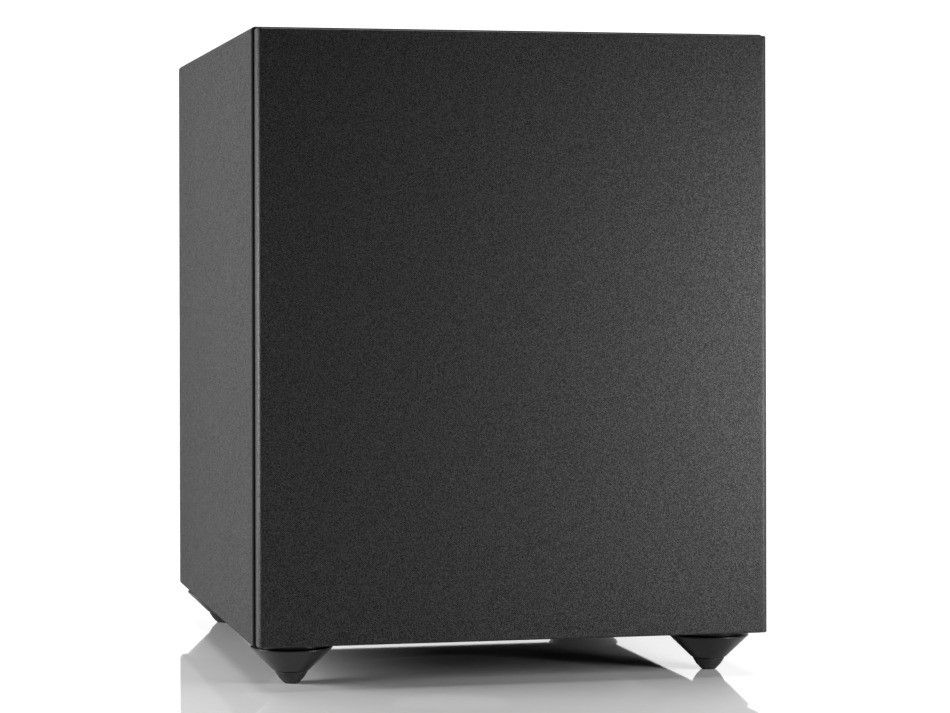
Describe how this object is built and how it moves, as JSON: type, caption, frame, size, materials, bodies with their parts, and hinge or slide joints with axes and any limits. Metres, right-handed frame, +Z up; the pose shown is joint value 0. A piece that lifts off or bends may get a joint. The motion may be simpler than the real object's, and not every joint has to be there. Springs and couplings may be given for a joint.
{
  "type": "powered subwoofer",
  "caption": "Compact black powered subwoofer: cloth front grille, tall box, conical feet, down-firing passive radiator and rear plate amplifier.",
  "frame": {"origin": "on the floor, under the middle of the object's bounding box", "axes": "+Z up, -Y out of the cloth front, +X to the right of someone facing the front"},
  "size_m": [0.3, 0.3662, 0.3715],
  "materials": {
    "cabinet_vinyl": "satin black textured vinyl wrap over fibreboard",
    "baffle_paint": "matte black paint over fibreboard",
    "brace_board": "raw fibreboard",
    "wadding": "loose polyester fibre",
    "foot_plastic": "satin black moulded plastic",
    "foot_rubber": "matte black rubber",
    "grille_cloth": "black woven acoustic cloth",
    "grille_frame": "matte black plastic",
    "basket_steel": "black paint, satin",
    "cone_paper": "matte black coated cone",
    "cap_black": "satin black",
    "surround_rubber": "matte black rubber",
    "spider_cloth": "resin-treated corrugated cloth",
    "plate_steel": "zinc-plated steel",
    "magnet_ferrite": "matte dark ferrite",
    "former_metal": "bare foil",
    "winding_copper": "enamelled copper wire",
    "terminal_board": "brown laminate with plated tabs",
    "lead_copper": "braided tinsel",
    "weight_steel": "black paint, satin",
    "amp_plate": "fine black powder coat, satin",
    "heat_sink": "extruded, satin",
    "circuit_board": "green solder mask",
    "transformer_wrap": "varnished winding tape over copper and core",
    "knob_plastic": "satin black plastic with a white pointer",
    "control_metal": "plated steel case",
    "lever_plastic": "black plastic",
    "switch_plastic": "black plastic, satin",
    "inlet_plastic": "black plastic with plated blades",
    "jack_metal": "gold-coloured plating",
    "led_lens": "clear green lens",
    "screw_black": "black zinc plating",
    "cable_jacket": "matte black insulation"
  },
  "bodies": {
    "cabinet": {"top_panel": "cabinet_vinyl", "bottom_panel": "cabinet_vinyl", "left_panel": "cabinet_vinyl", "right_panel": "cabinet_vinyl", "rear_panel": "cabinet_vinyl", "front_baffle": "baffle_paint", "cross_brace": "brace_board", "damping_blanket": "wadding", "foot_cone_front_left": "foot_plastic", "foot_cone_front_right": "foot_plastic", "foot_cone_back_left": "foot_plastic", "foot_cone_back_right": "foot_plastic", "foot_tip_front_left": "foot_rubber", "foot_tip_front_right": "foot_rubber", "foot_tip_back_left": "foot_rubber", "foot_tip_back_right": "foot_rubber", "woofer_basket": "basket_steel", "woofer_top_plate": "plate_steel", "woofer_magnet": "magnet_ferrite", "woofer_back_plate": "plate_steel", "woofer_terminals": "terminal_board", "radiator_frame": "basket_steel", "amp_plate": "amp_plate", "heat_sink": "heat_sink", "circuit_board": "circuit_board", "transformer": "transformer_wrap", "level_pot": "control_metal", "crossover_pot": "control_metal", "phase_switch": "control_metal", "mode_switch": "control_metal", "power_switch": "switch_plastic", "mains_inlet": "inlet_plastic", "left_jack": "jack_metal", "right_jack": "jack_metal", "status_led": "led_lens", "speaker_cable": "cable_jacket", "amp_screw_top_left": "screw_black", "amp_screw_top_right": "screw_black", "amp_screw_bottom_left": "screw_black", "amp_screw_bottom_right": "screw_black"},
    "grille": {"grille_frame": "grille_frame", "grille_cloth": "grille_cloth"},
    "woofer_moving": {"woofer_cone": "cone_paper", "woofer_dust_cap": "cap_black", "woofer_former": "former_metal", "woofer_winding": "winding_copper", "woofer_surround": "surround_rubber", "woofer_spider": "spider_cloth", "woofer_lead_lower": "lead_copper", "woofer_lead_upper": "lead_copper"},
    "radiator_moving": {"radiator_cone": "cone_paper", "radiator_weight": "weight_steel", "radiator_surround": "surround_rubber", "radiator_spider": "spider_cloth"},
    "level_control": {"level_knob": "knob_plastic"},
    "crossover_control": {"crossover_knob": "knob_plastic"},
    "phase_control": {"phase_lever": "lever_plastic"},
    "mode_control": {"mode_lever": "lever_plastic"},
    "power_control": {"power_rocker": "switch_plastic"}
  },
  "joints": [
    {"name": "grille_pull", "type": "slide", "parent": "cabinet", "child": "grille", "axis": [0, -1, 0], "range_m": [0, 0.06]},
    {"name": "woofer_stroke", "type": "slide", "parent": "cabinet", "child": "woofer_moving", "axis": [0, -1, 0], "range_m": [-0.008, 0.008], "stiffness_N_per_m": 3000, "deforming": ["woofer_surround", "woofer_spider", "woofer_lead_lower", "woofer_lead_upper"]},
    {"name": "radiator_stroke", "type": "slide", "parent": "cabinet", "child": "radiator_moving", "axis": [0, 0, -1], "range_m": [-0.012, 0.012], "stiffness_N_per_m": 3000, "springref_m": -0.00093, "deforming": ["radiator_surround", "radiator_spider"]},
    {"name": "level_turn", "type": "hinge", "parent": "cabinet", "child": "level_control", "pos_m": [0.05, 0.1704, 0.295], "axis": [0, 1, 0], "range_deg": [-150, 150]},
    {"name": "crossover_turn", "type": "hinge", "parent": "cabinet", "child": "crossover_control", "pos_m": [0, 0.1704, 0.295], "axis": [0, 1, 0], "range_deg": [-150, 150]},
    {"name": "phase_slide", "type": "slide", "parent": "cabinet", "child": "phase_control", "axis": [1, 0, 0], "range_m": [0, 0.003]},
    {"name": "mode_slide", "type": "slide", "parent": "cabinet", "child": "mode_control", "axis": [1, 0, 0], "range_m": [-0.0025, 0.0025]},
    {"name": "power_rock", "type": "hinge", "parent": "cabinet", "child": "power_control", "pos_m": [0.005, 0.1695, 0.105], "axis": [-1, 0, 0], "range_deg": [0, 20]}
  ]
}
